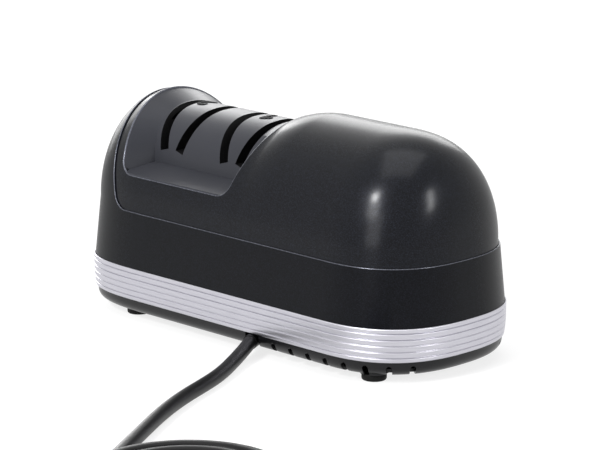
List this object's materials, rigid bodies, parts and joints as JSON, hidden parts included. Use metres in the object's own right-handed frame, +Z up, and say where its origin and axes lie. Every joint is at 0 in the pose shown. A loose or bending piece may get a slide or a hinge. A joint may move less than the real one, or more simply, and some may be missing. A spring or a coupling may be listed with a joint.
{
  "type": "electric knife sharpener",
  "caption": "Table-top electric knife sharpener: a domed housing over a metal band, with leaning knife slots in a sunken head and a flat-plug cord.",
  "frame": {"origin": "on the table, under the middle of the body's length and width", "axes": "+Z up, +X along the body to its rounded motor end, +Y to the side with the switch, where the user stands"},
  "size_m": [0.343, 0.3052, 0.1065],
  "materials": {
    "cover_gloss": "high gloss moulding with a fine metallic fleck",
    "housing_gloss": "high gloss moulding",
    "head_matte": "fine spark-eroded texture",
    "band_metal": "satin, rolled with five grooves",
    "pan_matte": "matte moulding",
    "foot_rubber": "matte",
    "screw_steel": "zinc plated",
    "bracket_plastic": "glass-filled moulding",
    "bush_bronze": "sintered, oil filled",
    "shaft_steel": "ground",
    "coupling_metal": "turned",
    "fine_grit": "fine abrasive bonded to a steel cup",
    "coarse_grit": "coarse diamond grit plated on a steel cup",
    "motor_steel": "zinc plated",
    "magnet_ferrite": "sintered",
    "motor_plastic": "moulded",
    "copper": "enamelled wire and bare copper",
    "carbon": "pressed carbon",
    "switch_matte": "moulded",
    "rocker_gloss": "moulded",
    "terminal_brass": "stamped",
    "board": "laminate",
    "component": "moulded",
    "cord_sheath": "semi-matte sheath",
    "plug_moulding": "moulded on the cord",
    "pin_plated": "nickel-plated brass"
  },
  "bodies": {
    "housing": {"upper_cover": "cover_gloss", "lower_housing": "housing_gloss", "head_insert": "head_matte", "trim_band": "band_metal", "base_pan": "pan_matte", "foot_front_left": "foot_rubber", "foot_front_right": "foot_rubber", "foot_rear_left": "foot_rubber", "foot_rear_right": "foot_rubber", "base_screws": "screw_steel", "bracket_left": "bracket_plastic", "bracket_right": "bracket_plastic", "bracket_screws": "screw_steel", "bush_left": "bush_bronze", "bush_right": "bush_bronze", "motor_can": "motor_steel", "motor_magnets": "magnet_ferrite", "motor_end_cap": "motor_plastic", "motor_brushes": "carbon", "motor_bushes": "bush_bronze", "motor_cradle": "bracket_plastic", "motor_strap": "motor_steel", "motor_screws": "screw_steel", "switch_body": "switch_matte", "switch_terminals": "terminal_brass", "circuit_board": "board", "rectifier": "component", "capacitor": "component", "strain_relief": "cord_sheath", "cord_clamp": "bracket_plastic", "clamp_screws": "screw_steel", "cord_run": "cord_sheath", "cord_coil": "cord_sheath", "cord_tail": "cord_sheath", "plug_body": "plug_moulding", "plug_pins": "pin_plated"},
    "spindle": {"wheel_shaft": "shaft_steel", "coupling": "coupling_metal", "motor_shaft": "shaft_steel", "fine_wheel_left": "fine_grit", "fine_wheel_right": "fine_grit", "coarse_wheel_left": "coarse_grit", "coarse_wheel_right": "coarse_grit", "fine_washer": "shaft_steel", "coarse_washer": "shaft_steel", "shaft_clips": "shaft_steel", "armature_core": "motor_steel", "armature_winding": "copper", "commutator": "copper", "cooling_fan": "motor_plastic"},
    "rocker": {"switch_rocker": "rocker_gloss"}
  },
  "joints": [
    {"name": "spindle_spin", "type": "hinge", "parent": "housing", "child": "spindle", "pos_m": [0, 0, 0.062], "axis": [1, 0, 0], "continuous": true},
    {"name": "rocker_tilt", "type": "hinge", "parent": "housing", "child": "rocker", "pos_m": [0.024, 0.0432, 0.0395], "axis": [0, 0, 1], "range_deg": [0, 24]}
  ]
}
